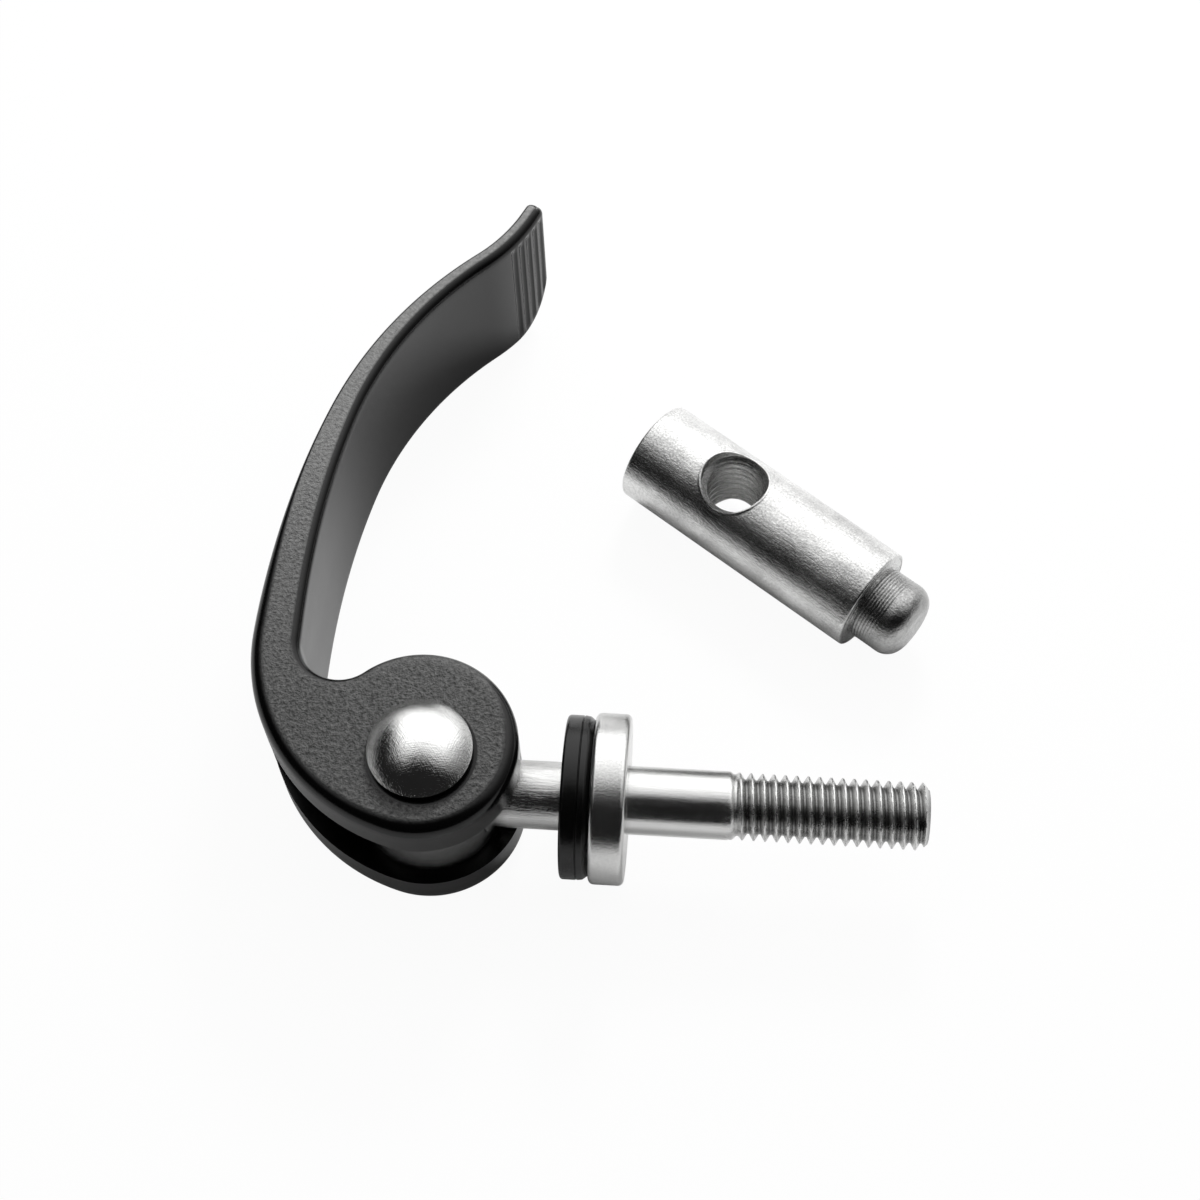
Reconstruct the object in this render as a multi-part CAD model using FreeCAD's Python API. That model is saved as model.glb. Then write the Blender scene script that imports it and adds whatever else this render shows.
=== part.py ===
import FreeCAD, Part
import math
import os

# Quick release cam lever of a folding handlebar, lying on its side.
# Millimetres. +Z is the cam pin's axis, +X the eye bolt's axis, and z = 0 is the
# side of the lever that lies on the table, with the origin on the pin's axis.

# Lever: width along the pin, bevel of its long edges, rounding of the tip's two corners
lever_width = 16.6
edge_bevel = 0.6
tip_corner_front = 1.0
tip_corner_rear = 6.0

# Cam: radius, and its centre from the pin's axis (the throw of the cam)
cam_radius = 8.5
cam_off_x = -0.3
cam_off_y = 1.1

# Root of the blade: distance of its middle behind the pin, thickness, inner corner
root_behind = 13.82
root_thick = 4.35
crook_radius = 3.5
root_land = 0.3

# Blade: radius and angle of its three arcs, thickness at the tip and how it tapers
back_radius = 84.0
back_angle = 15.7
hook_radius = 37.0
hook_angle = 33.0
flare_radius = 16.4
flare_angle = 29.6
tip_thick = 1.6
taper_power = 0.67
share_step = 0.01

# Grip grooves across the inside of the tip
groove_count = 5
groove_pitch = 1.05
groove_radius = 0.42
groove_depth = 0.22
groove_margin = 1.1

# Cam pin: shaft, domed head and the short land under the dome
pin_diameter = 6.0
head_diameter = 9.0
head_land = 0.75
dome_height = 2.1
pin_chamfer = 0.3
pin_fit = 0.02

# Eye bolt: eye, shank and threaded end, measured from the pin's axis
eye_diameter = 12.5
eye_width = 7.6
eye_edge = 0.4
eye_fit = 0.05
shank_diameter = 6.0
bolt_reach = 43.7
thread_diameter = 5.9
thread_length = 16.8
thread_chamfer = 0.55
runout_diameter = 4.9
runout_width = 0.6

# Slot of the lever: clearances beside the eye, round it and beside the shank
slot_side_gap = 0.2
slot_round_gap = 0.45
slot_shank_gap = 0.35

# Washers on the shank: the plastic one's free play from the cam, and the sizes of both
washer_play = 3.75
washer_fit = 0.08
washer_gap = 0.05
cam_washer_diameter = 14.4
cam_washer_thick = 2.45
cam_washer_band = 1.45
cam_washer_taper = 0.35
cam_washer_edge = 0.3
recess_diameter = 8.8
recess_depth = 0.9
steel_washer_diameter = 15.0
steel_washer_thick = 3.1
steel_washer_edge = 0.4
steel_bore_chamfer = 0.3

# Barrel nut: barrel, stub and tapped cross hole, and where it lies
barrel_diameter = 10.0
barrel_length = 26.0
barrel_chamfer = 0.3
stub_diameter = 7.3
stub_length = 4.8
stub_round = 1.8
round_steps = 3
shoulder_chamfer = 0.2
tap_diameter = 5.0
tap_mouth = 6.4
tap_place = 9.7
nut_x = 17.65
nut_y = 37.68
nut_angle = -35.4

# Values that follow from the sizes above
mid = lever_width / 2
cam_x, cam_y = cam_off_x, cam_off_y
inner_x = root_thick / 2 - root_behind
outer_x = -root_thick / 2 - root_behind
crook_x = inner_x + crook_radius
crook_y = cam_y + math.sqrt((cam_radius + crook_radius) ** 2 - (crook_x - cam_x) ** 2)
root_y = crook_y + root_land
slot_width = eye_width + 2 * slot_side_gap
washer_place = cam_x + cam_radius + washer_play
steel_place = washer_place + cam_washer_thick + washer_gap
X_AXIS = FreeCAD.Vector(1, 0, 0)
Z_AXIS = FreeCAD.Vector(0, 0, 1)


def vec(x, y, z=0.0):
    return FreeCAD.Vector(x, y, z)


def blade_middle(share):
    """Point, heading (degrees) and whole length of the blade's middle line, share 0 at the root to 1."""
    arcs = [(back_radius, -back_angle), (hook_radius, -hook_angle), (flare_radius, flare_angle)]
    total = sum(radius * math.radians(abs(turn)) for radius, turn in arcs)
    left = share * total
    x, y, heading = -root_behind, root_y, 90.0
    for radius, turn in arcs:
        part = min(left, radius * math.radians(abs(turn)))
        side = math.copysign(1.0, turn)
        swung = heading + side * math.degrees(part / radius)
        x += side * radius * (math.sin(math.radians(swung)) - math.sin(math.radians(heading)))
        y -= side * radius * (math.cos(math.radians(swung)) - math.cos(math.radians(heading)))
        heading = swung
        left -= part
    return x, y, heading, total


def blade_side(share, side):
    """Point on the outer (side 1) or inner (side -1) face, at half the tapering thickness."""
    x, y, heading, _ = blade_middle(share)
    fade = (1 + math.cos(math.pi * share ** taper_power)) / 2
    half = (tip_thick + (root_thick - tip_thick) * fade) / 2
    ahead = math.radians(heading)
    return vec(x - side * half * math.sin(ahead), y + side * half * math.cos(ahead))


def blade_way(share, side):
    """Direction in which a face of the blade runs on, with the lean that its taper gives it."""
    if share in (0.0, 1.0):
        ahead = math.radians(blade_middle(share)[2])
        return vec(math.cos(ahead), math.sin(ahead))
    way = blade_side(share + share_step, side) - blade_side(share - share_step, side)
    return way.normalize()


def arc_along(start, way, end):
    """Arc that leaves start in a given direction and runs to end."""
    chord = end - start
    lean = math.atan2(chord.x * way.y - chord.y * way.x, chord.dot(way))
    bulge = vec(-chord.y, chord.x) * (math.tan(lean / 2) / 2)
    return Part.Arc(start, start + chord * 0.5 + bulge, end).toShape()


def blade_face(side):
    """One face of the blade: between stations, two arcs that meet each other smoothly."""
    lengths = [back_radius * back_angle, hook_radius * hook_angle, flare_radius * flare_angle]
    shares = [0.0, lengths[0] / sum(lengths), 1 - lengths[2] / sum(lengths), 1.0]
    edges = []
    for low, high in zip(shares, shares[1:]):
        start, end = blade_side(low, side), blade_side(high, side)
        leave, arrive = blade_way(low, side), blade_way(high, side)
        chord = end - start
        along = chord.dot(leave + arrive)
        turn = 2 * (1 - leave.dot(arrive))
        reach = (math.sqrt(along ** 2 + turn * chord.dot(chord)) - along) / turn
        joint = (start + end + (leave - arrive) * reach) * 0.5
        edges.append(arc_along(start, leave, joint))
        edges.append(arc_along(end, arrive * -1, joint))
    return edges


def arc_edge(cx, cy, radius, start, end):
    """Arc about (cx, cy) from one angle to another, both in degrees, either way round."""
    def at(angle):
        return vec(cx + radius * math.cos(math.radians(angle)), cy + radius * math.sin(math.radians(angle)))
    return Part.Arc(at(start), at((start + end) / 2), at(end)).toShape()


def lever_profile():
    """Side view of the lever: cam, inner corner, blade, tip, and the heel back to the cam."""
    crook_to_cam = math.degrees(math.atan2(cam_y - crook_y, cam_x - crook_x))
    cam_from_crook = crook_to_cam + 180.0
    # The heel's arc runs straight up at the root and touches the cam from outside
    reach_x = outer_x - cam_x
    rise = root_y - cam_y
    heel_radius = (cam_radius ** 2 - reach_x ** 2 - rise ** 2) / (2 * (reach_x + cam_radius))
    heel_x = outer_x + heel_radius
    heel_end = math.degrees(math.atan2(cam_y - root_y, cam_x - heel_x)) + 360.0
    edges = [arc_edge(crook_x, crook_y, crook_radius, crook_to_cam, -180.0)]
    edges.append(Part.makeLine(vec(inner_x, crook_y), vec(inner_x, root_y)))
    edges.extend(blade_face(-1))
    edges.append(Part.makeLine(blade_side(1.0, -1), blade_side(1.0, 1)))
    edges.extend(blade_face(1))
    edges.append(arc_edge(heel_x, root_y, heel_radius, 180.0, heel_end))
    edges.append(arc_edge(cam_x, cam_y, cam_radius, heel_end, cam_from_crook + 360.0))
    return Part.Face(Part.Wire(Part.__sortEdges__(edges)))


def tip_corner_edge(solid, height):
    """The short edge across the blade's thickness at the end of the tip, at one side face."""
    middle = (blade_side(1.0, -1) + blade_side(1.0, 1)) * 0.5 + vec(0, 0, height)
    return [edge for edge in solid.Edges if edge.CenterOfMass.distanceToPoint(middle) < tip_thick / 10]


def long_edges(solid):
    """Every edge that lies in one of the lever's two side faces, and those round the tip's end."""
    found = []
    for edge in solid.Edges:
        box = edge.BoundBox
        in_face = box.ZLength < 1e-6 and (box.ZMin < 1e-6 or box.ZMax > lever_width - 1e-6)
        round_tip = 1e-6 < box.ZLength < lever_width - 1e-6
        if in_face or round_tip:
            found.append(edge)
    return found


def lever():
    body = lever_profile().extrude(Z_AXIS * lever_width)
    body = body.makeFillet(tip_corner_front, tip_corner_edge(body, lever_width))
    body = body.makeFillet(tip_corner_rear, tip_corner_edge(body, 0.0))
    body = body.makeChamfer(edge_bevel, long_edges(body))
    body = body.cut(swing_slot())
    body = body.cut(Part.makeCylinder(pin_diameter / 2 + pin_fit, lever_width, vec(0, 0)))
    return body.cut(Part.Compound(grip_grooves()))


def swing_slot():
    """Room for the eye, and for the shank to swing from ahead of the cam to behind it."""
    low = mid - slot_width / 2
    pocket = Part.makeCylinder(eye_diameter / 2 + slot_round_gap, slot_width, vec(0, 0, low))
    roof = shank_diameter / 2 + slot_shank_gap
    side = root_behind + root_thick + cam_radius
    sweep = Part.makeBox(2 * side, side + roof, slot_width, vec(-side, -side, low))
    return pocket.fuse(sweep)


def grip_grooves():
    total = blade_middle(1.0)[3]
    grooves = []
    for k in range(groove_count):
        share = 1 - (groove_margin + k * groove_pitch) / total
        ahead = blade_way(share, -1)
        inward = vec(ahead.y, -ahead.x)
        centre = blade_side(share, -1) + inward * (groove_radius - groove_depth)
        grooves.append(Part.makeCylinder(groove_radius, lever_width, centre))
    return grooves


def turned(points, base, axis):
    """Solid turned from a half outline of (along, radius) points about an axis through base."""
    across = X_AXIS if abs(axis.z) > 0.5 else Z_AXIS
    placed = [base + axis * along + across * radius for along, radius in points]
    outline = Part.makePolygon(placed + placed[:1])
    return Part.Face(outline).revolve(base, axis, 360)


def rims(solid, axis, radius, base):
    """Circular edges of one radius about an axis through base."""
    found = []
    for edge in solid.Edges:
        circle = edge.Curve
        if not isinstance(circle, Part.Circle) or abs(circle.Radius - radius) > 1e-6:
            continue
        if circle.Axis.cross(axis).Length < 1e-6 and (circle.Center - base).cross(axis).Length < 1e-6:
            found.append(edge)
    return found


def pivot_pin():
    shaft = pin_diameter / 2
    points = [(0, 0), (0, shaft - pin_chamfer), (pin_chamfer, shaft), (lever_width, shaft), (lever_width, 0)]
    shaft_solid = turned(points, vec(0, 0), Z_AXIS)
    rim = head_diameter / 2
    land = Part.makeCylinder(rim, head_land, vec(0, 0, lever_width))
    ball_radius = (rim ** 2 + dome_height ** 2) / (2 * dome_height)
    top = lever_width + head_land
    ball = Part.makeSphere(ball_radius, vec(0, 0, top + dome_height - ball_radius))
    cap = ball.common(Part.makeCylinder(rim, dome_height, vec(0, 0, top)))
    return shaft_solid.fuse([land, cap]).removeSplitter()


def eye_bolt():
    """Eye on the pin, plain shank, run-out groove and threaded end, all round the bolt's axis."""
    base = vec(0, 0, mid)
    low = vec(0, 0, mid - eye_width / 2)
    eye = Part.makeCylinder(eye_diameter / 2, eye_width, low)
    eye = eye.makeChamfer(eye_edge, rims(eye, Z_AXIS, eye_diameter / 2, base))
    shank = shank_diameter / 2
    root = runout_diameter / 2
    major = thread_diameter / 2
    shank_end = bolt_reach - thread_length
    thread_start = shank_end + runout_width
    points = [(0, 0), (0, shank), (shank_end, shank), (shank_end, root), (thread_start, root),
              (thread_start, major), (bolt_reach - thread_chamfer, major),
              (bolt_reach, major - thread_chamfer), (bolt_reach, 0)]
    body = eye.fuse(turned(points, base, X_AXIS))
    return body.cut(Part.makeCylinder(pin_diameter / 2 + eye_fit, eye_width, low))


def cam_washer():
    """Plastic washer: a straight band that tapers towards the steel one, and a recess towards the cam."""
    bore = shank_diameter / 2 + washer_fit
    outer = cam_washer_diameter / 2
    recess = recess_diameter / 2
    points = [(recess_depth, bore), (recess_depth, recess), (0, recess), (0, outer - cam_washer_edge),
              (cam_washer_edge, outer), (cam_washer_band, outer),
              (cam_washer_thick, outer - cam_washer_taper), (cam_washer_thick, bore)]
    return turned(points, vec(washer_place, 0, mid), X_AXIS)


def steel_washer():
    bore = shank_diameter / 2 + washer_fit
    outer = steel_washer_diameter / 2
    edge = steel_washer_edge
    mouth = steel_bore_chamfer
    thick = steel_washer_thick
    points = [(mouth, bore), (0, bore + mouth), (0, outer - edge), (edge, outer), (thick - edge, outer),
              (thick, outer - edge), (thick, bore + mouth), (thick - mouth, bore)]
    return turned(points, vec(steel_place, 0, mid), X_AXIS)


def barrel_nut():
    axis = vec(math.cos(math.radians(nut_angle)), math.sin(math.radians(nut_angle)))
    base = vec(nut_x, nut_y, barrel_diameter / 2)
    barrel = barrel_diameter / 2
    stub = stub_diameter / 2
    tip = barrel_length + stub_length
    points = [(0, 0), (0, barrel - barrel_chamfer), (barrel_chamfer, barrel),
              (barrel_length - shoulder_chamfer, barrel), (barrel_length, barrel - shoulder_chamfer),
              (barrel_length, stub)]
    # The stub's rounded end, a quarter round in a few straight steps
    for k in range(round_steps + 1):
        bend = math.radians(90.0) * k / round_steps
        points.append((tip - stub_round * (1 - math.sin(bend)), stub - stub_round * (1 - math.cos(bend))))
    points.append((tip, 0))
    nut = turned(points, base, axis)
    return nut.cut(tapped_hole(base + axis * tap_place))


def tapped_hole(centre):
    """Turned form of the drilled hole, countersunk on both sides of the barrel."""
    drill = tap_diameter / 2
    mouth = tap_mouth / 2
    barrel = barrel_diameter / 2
    # Height at which the rim of a countersink leaves the round side of the barrel
    rim = math.sqrt(barrel ** 2 - mouth ** 2)
    neck = rim - mouth + drill
    points = [(-barrel, 0), (-barrel, mouth), (-rim, mouth), (-neck, drill),
              (neck, drill), (rim, mouth), (barrel, mouth), (barrel, 0)]
    return turned(points, centre, Z_AXIS)


PIECES = {
    "lever": lever,
    "pivot_pin": pivot_pin,
    "eye_bolt": eye_bolt,
    "cam_washer": cam_washer,
    "steel_washer": steel_washer,
    "barrel_nut": barrel_nut,
}

os.makedirs("parts", exist_ok=True)
for name, make in PIECES.items():
    shape = make()
    shape.exportStep("parts/" + name + ".step")
    print(name, shape.isValid(), len(shape.Solids), round(shape.Volume, 1))
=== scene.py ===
# %% [markdown]
# # A quick release cam lever for a folding handlebar
# The solids of this part come in as a fixed frame: the lever, its pin, an eye bolt with two
# washers, and a loose barrel nut. This lesson dresses them. Each piece is rebuilt as a smooth
# surface in numpy, gets a finish made of shader nodes, and rides on the body of its solid.

# %% Load the frame
import math

import bmesh
import bpy
import mathutils
import numpy as np
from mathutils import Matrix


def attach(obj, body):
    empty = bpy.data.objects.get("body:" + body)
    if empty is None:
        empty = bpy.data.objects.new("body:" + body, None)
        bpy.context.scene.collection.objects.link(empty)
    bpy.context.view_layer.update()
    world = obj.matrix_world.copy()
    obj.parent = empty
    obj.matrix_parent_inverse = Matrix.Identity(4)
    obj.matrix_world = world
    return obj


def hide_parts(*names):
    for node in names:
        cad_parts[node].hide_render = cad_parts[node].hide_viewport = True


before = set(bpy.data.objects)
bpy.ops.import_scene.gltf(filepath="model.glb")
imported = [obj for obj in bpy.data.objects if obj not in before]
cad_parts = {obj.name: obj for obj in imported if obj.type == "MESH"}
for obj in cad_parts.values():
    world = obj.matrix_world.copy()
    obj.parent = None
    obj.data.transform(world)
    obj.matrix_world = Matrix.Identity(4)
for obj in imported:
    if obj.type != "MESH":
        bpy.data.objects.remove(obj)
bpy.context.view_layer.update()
scene = bpy.context.scene
scene.view_settings.view_transform = "Standard"
print("nodes:", sorted(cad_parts))

# %% [markdown]
# ## From arrays to a mesh
# Every piece below is a grid of points in millimetres. One helper turns grids and faces into a
# mesh: it scales to metres, merges the points where a seam or a pole closes, turns all faces
# outwards and shades smooth, with a crease wherever two faces meet at a sharp angle. Doing the
# merging here keeps the shape functions short, because they may repeat a point at a seam.

# %% Mesh helper
MM = 0.001
MERGE_WITHIN, THINNEST_EDGE = 2e-7, 1e-8


def grid_faces(rows, columns, first=0):
    """Quads between neighbours of a grid whose points are numbered row by row from first."""
    index = first + np.arange(rows * columns).reshape(rows, columns)
    corners = [index[:-1, :-1], index[:-1, 1:], index[1:, 1:], index[1:, :-1]]
    return np.stack(corners, axis=-1).reshape(-1, 4).tolist()


def build(name, points, faces, body, node, finish, crease=35.0, grain=None):
    """Mesh from points in millimetres, merged and turned outwards, riding on a body for a node."""
    mesh = bpy.data.meshes.new(name)
    mesh.from_pydata((points * MM).tolist(), [], faces)
    if grain is not None:
        mesh.attributes.new("grain", "FLOAT", "POINT").data.foreach_set("value", grain)
    shape = bmesh.new()
    shape.from_mesh(mesh)
    bmesh.ops.remove_doubles(shape, verts=shape.verts, dist=MERGE_WITHIN)
    bmesh.ops.dissolve_degenerate(shape, edges=shape.edges, dist=THINNEST_EDGE)
    bmesh.ops.recalc_face_normals(shape, faces=shape.faces)
    shape.to_mesh(mesh)
    open_edges = sum(1 for edge in shape.edges if not edge.is_manifold)
    shape.free()
    mesh.shade_smooth()
    mesh.set_sharp_from_angle(angle=math.radians(crease))
    piece = bpy.data.objects.new(name, mesh)
    scene.collection.objects.link(piece)
    mesh.materials.append(bpy.data.materials[finish])
    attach(piece, body)
    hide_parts(node)
    print(name, len(mesh.polygons), "faces,", open_edges, "open edges")


print("a grid of 3 by 4 points has", len(grid_faces(3, 4)), "faces")

# %% [markdown]
# ## A kit of shader nodes
# A finish is a few noises on Object coordinates, which stay put when the piece moves. The
# helpers below only save typing. The first adds a node and sets its inputs, and the others are
# the few nodes that every finish needs. A streaky noise takes two Mapping nodes: a single one
# stretches before it turns, and the streaks would run aslant.

# %% Node helpers


def new_finish(name):
    """Empty material with a Principled shader, and its node tree."""
    material = bpy.data.materials.get(name) or bpy.data.materials.new(name)
    material.use_nodes = True
    tree = material.node_tree
    tree.nodes.clear()
    output = tree.nodes.new("ShaderNodeOutputMaterial")
    shader = tree.nodes.new("ShaderNodeBsdfPrincipled")
    tree.links.new(shader.outputs["BSDF"], output.inputs["Surface"])
    return tree, shader


def add(tree, kind, operation=None, **inputs):
    """New node with inputs set to a value or linked, by name or, as _0 or _1, by number."""
    node = tree.nodes.new(kind)
    if operation:
        node.operation = operation
    for name, value in inputs.items():
        socket = node.inputs[int(name[1:])] if name[0] == "_" else node.inputs[name]
        if isinstance(value, bpy.types.NodeSocket):
            tree.links.new(value, socket)
        else:
            socket.default_value = value
    return node


def object_place(tree):
    """Where a point lies in its piece, in metres."""
    return tree.nodes.new("ShaderNodeTexCoord").outputs["Object"]


def noise(tree, scale, stretch=(1, 1, 1), turn=(0, 0, 0), detail=3.0, rough=0.55):
    """Noise that is turned first and then made finer along the axes that stretch."""
    turned = add(tree, "ShaderNodeMapping", Vector=object_place(tree), Rotation=turn).outputs[0]
    stretched = add(tree, "ShaderNodeMapping", Vector=turned, Scale=stretch).outputs[0]
    speckle = add(tree, "ShaderNodeTexNoise", Vector=stretched, Scale=scale, Detail=detail,
                  Roughness=rough)
    return speckle.outputs["Fac"]


def calc(tree, operation, first, second):
    """Result of a Math node on two values."""
    return add(tree, "ShaderNodeMath", operation, _0=first, _1=second).outputs[0]


print("helpers for nodes: new_finish, add, object_place, noise, calc")

# %% [markdown]
# Most of a noise's values lie between 0.3 and 0.7, so that range is spread over the wanted
# one. A bump takes a height in metres, because the scene is in metres. Every finish here
# drives the same three sockets of the shader.

# %% Node helpers for ranges, tones and bumps
MOST_OF_NOISE = (0.3, 0.7)
WARMTH = 0.99


def spread(tree, value, low, high, to_low, to_high):
    """Value from one range taken to another, clamped at both ends."""
    span = add(tree, "ShaderNodeMapRange", _0=value, _1=low, _2=high, _3=to_low, _4=to_high)
    return span.outputs[0]


def over_noise(tree, value, to_low, to_high):
    """A noise's usual range taken to another."""
    return spread(tree, value, *MOST_OF_NOISE, to_low, to_high)


def mix_values(tree, share, first, second):
    """Value that goes from first to second as share rises from 0 to 1."""
    return add(tree, "ShaderNodeMix", _0=share, _2=first, _3=second).outputs[0]


def mix_colours(tree, share, first, second):
    """Colour that goes from first to second as share rises from 0 to 1."""
    node = add(tree, "ShaderNodeMix", _0=share, _6=first, _7=second)
    node.data_type = "RGBA"
    return node.outputs[2]


def mix_greys(tree, share, dark, light):
    """Grey that goes from a dark to a light level, a trace warmer than neutral."""
    ends = [(level, level, level * WARMTH, 1) for level in (dark, light)]
    return mix_colours(tree, share, *ends)


def bump(tree, height, metres, normal=None, strength=1.0):
    """Bump whose full height is the given number of metres."""
    node = add(tree, "ShaderNodeBump", Height=height, Distance=metres, Strength=strength)
    if normal is not None:
        tree.links.new(normal, node.inputs["Normal"])
    return node.outputs[0]


def connect(name, tree, shader, normal, roughness, colour):
    """Link what a finish drives to its shader."""
    for socket, value in (("Normal", normal), ("Roughness", roughness), ("Base Color", colour)):
        tree.links.new(value, shader.inputs[socket])
    print(name, "has", len(tree.nodes), "nodes")


print("helpers for values: spread, over_noise, mix_values, mix_colours, mix_greys, bump, connect")

# %% [markdown]
# ## The lever's black coat
# The lever is cast and powder coated. Its side faces keep a fine orange-peel grain, and the
# walls are smoother, a satin. Both live in one material: the mesh carries a point attribute
# called grain, 1 on the side faces and 0 on the walls, which scales the bump, the roughness and
# the tone. The grain scatters light, so those faces look grey, and the smooth walls deep black.
# The blade looks rubbed: its grain is paler, and fades towards the tip. Round the pin, a little
# off centre towards the front, the grain gives way to a smooth, near-black ring. This is painted
# shade that stands in for the shadow under the pin's head, and it sets off the bright head. Two
# materials would meet at a hard border, and an attribute lets the grain fade out over the rounded
# edges.

# %% Black coating
WIDTH = 16.6
# Painted shade: a smooth, near-black ring round the pin, a little towards the front, for the head's shadow.
PIN_SHADE_AT, PIN_SHADE_R, PIN_SHADE_SOFT = (0.00008, -0.00014, WIDTH * MM), 0.00480, 0.00006
PEEL_HIGH, FINE_PEEL_HIGH, WALL_PEEL, TIP_PEEL = 0.00034, 0.000020, 0.02, 0.3
RUBBED_Y, FADING_Y = (0.004, 0.030), (0.022, 0.046)
WALL_ROUGH, GRAIN_ROUGH = (0.15, 0.21), (0.44, 0.56)
EAR_TONE, BLADE_TONE, WALL_TONE = (0.038, 0.160), (0.150, 0.270), (0.001, 0.003)
COAT_GLOSS = 0.3
tree, shader = new_finish("black_coating")
coat_place = object_place(tree)
coat_y = add(tree, "ShaderNodeSeparateXYZ", _0=coat_place).outputs[1]
# The grain is cut out in the painted shade ring round the pin, which leaves the walls' black tone there.
from_pin_shade = add(tree, "ShaderNodeVectorMath", "DISTANCE", _0=coat_place, _1=PIN_SHADE_AT)
off_pin_shade = spread(tree, from_pin_shade.outputs["Value"], PIN_SHADE_R - PIN_SHADE_SOFT, PIN_SHADE_R + PIN_SHADE_SOFT, 0.0, 1.0)
carried = add(tree, "ShaderNodeAttribute")
carried.attribute_name = "grain"
grain_outside_pin_shade = calc(tree, "MULTIPLY", carried.outputs["Fac"], off_pin_shade)
peel = noise(tree, 2900.0, detail=4.0, rough=0.62)
fine_peel = noise(tree, 9000.0, detail=2.0)
patch = noise(tree, 160.0, detail=2.0)
peel_left = calc(tree, "MULTIPLY", grain_outside_pin_shade, spread(tree, coat_y, *FADING_Y, 1.0, TIP_PEEL))
peel_strength = spread(tree, peel_left, 0.0, 1.0, WALL_PEEL, 1.0)
peel_bump = bump(tree, peel, PEEL_HIGH, strength=peel_strength)
coat_bump = bump(tree, fine_peel, FINE_PEEL_HIGH, normal=peel_bump, strength=peel_strength)
wall_rough = over_noise(tree, patch, *WALL_ROUGH)
coat_rough = mix_values(tree, grain_outside_pin_shade, wall_rough, over_noise(tree, peel, *GRAIN_ROUGH))
peel_share = over_noise(tree, peel, 0.0, 1.0)
rubbed = spread(tree, coat_y, *RUBBED_Y, 0.0, 1.0)
ear_tone, blade_tone = [mix_greys(tree, peel_share, *tone) for tone in (EAR_TONE, BLADE_TONE)]
grain_tone = mix_colours(tree, rubbed, ear_tone, blade_tone)
coat_tone = mix_colours(tree, grain_outside_pin_shade, mix_greys(tree, patch, *WALL_TONE), grain_tone)
shader.inputs["Specular IOR Level"].default_value = COAT_GLOSS
connect("black_coating", tree, shader, coat_bump, coat_rough, coat_tone)

# %% [markdown]
# ## Side view of the lever
# The outline is a chain: a small inner corner, the inside of the blade up to the tip, the
# outside of the blade down again, the heel, and the round cam. The blade's middle line is three
# tangent arcs, and its thickness fades from root to tip along a cosine. All of it is worked out
# as arrays over the share of the blade's length, so that both faces have matching points.

# %% Blade formulas
MID = WIDTH / 2
CAM_X, CAM_Y, CAM_R = -0.3, 1.1, 8.5
ROOT_BEHIND, ROOT_THICK, CROOK_R, ROOT_LAND = 13.82, 4.35, 3.5, 0.3
BLADE_RADII = np.array([84.0, 37.0, 16.4])
BLADE_TURNS = np.radians([-15.7, -33.0, 29.6])
TIP_THICK, TAPER = 1.6, 0.67
INNER_X = ROOT_THICK / 2 - ROOT_BEHIND
OUTER_X = -ROOT_THICK / 2 - ROOT_BEHIND
CROOK_X = INNER_X + CROOK_R
CROOK_Y = CAM_Y + math.sqrt((CAM_R + CROOK_R) ** 2 - (CROOK_X - CAM_X) ** 2)
ROOT_Y = CROOK_Y + ROOT_LAND
BLADE_LENGTHS = BLADE_RADII * np.abs(BLADE_TURNS)
BLADE_LENGTH = BLADE_LENGTHS.sum()


def blade_middle(share):
    """Points and headings of the middle line: each arc turns by length over radius, in order."""
    left = share * BLADE_LENGTH
    x = np.full_like(share, -ROOT_BEHIND)
    y = np.full_like(share, ROOT_Y)
    heading = np.full_like(share, math.pi / 2)
    for radius, turn, length in zip(BLADE_RADII, BLADE_TURNS, BLADE_LENGTHS):
        part = np.clip(left, 0, length)
        side = np.sign(turn)
        swung = heading + side * part / radius
        x = x + side * radius * (np.sin(swung) - np.sin(heading))
        y = y - side * radius * (np.cos(swung) - np.cos(heading))
        heading = swung
        left = left - part
    return np.stack([x, y], 1), heading


def blade_half(share):
    """Half the blade's thickness, which fades from root to tip along a cosine."""
    fade = (1 + np.cos(np.pi * share ** TAPER)) / 2
    return (TIP_THICK + (ROOT_THICK - TIP_THICK) * fade) / 2


def blade_faces(share):
    """Inner and outer face: the middle line moved sideways by half the thickness."""
    middle, heading = blade_middle(share)
    right = np.stack([np.sin(heading), -np.cos(heading)], 1) * blade_half(share)[:, None]
    return middle + right, middle - right


print("blade length", round(float(BLADE_LENGTH), 1), "mm")

# %% [markdown]
# The faces are sampled more closely in the last part of the blade, where the grip grooves are.
# The nose is two quarter circles that turn from the inner face to the outer one.

# %% Blade and nose
NOSE_R, NOSE_POINTS = 0.78, 7
FLARE_FROM, PLAIN_POINTS, FLARE_POINTS = 0.86, 120, 150
tip_share = 1 - NOSE_R / BLADE_LENGTH
share = np.concatenate([np.linspace(0, FLARE_FROM, PLAIN_POINTS, endpoint=False),
                        np.linspace(FLARE_FROM, tip_share, FLARE_POINTS)])
inner_face, outer_face = blade_faces(share)
tip_point, tip_heading = blade_middle(np.array([1.0]))
tip_way = np.array([math.cos(tip_heading[0]), math.sin(tip_heading[0])])
tip_right = np.array([tip_way[1], -tip_way[0]])
quarter = np.radians(np.linspace(0, 90, NOSE_POINTS))[:, None]
nose_base = tip_point[0] - tip_way * NOSE_R
nose_shift = tip_right * (TIP_THICK / 2 - NOSE_R)
nose_along, nose_across = NOSE_R * np.sin(quarter) * tip_way, NOSE_R * np.cos(quarter) * tip_right
inner_nose = nose_base + nose_shift + nose_across + nose_along
outer_nose = nose_base - nose_shift - nose_across + nose_along
print("tip at", tip_point[0].round(1), "mm")

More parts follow.
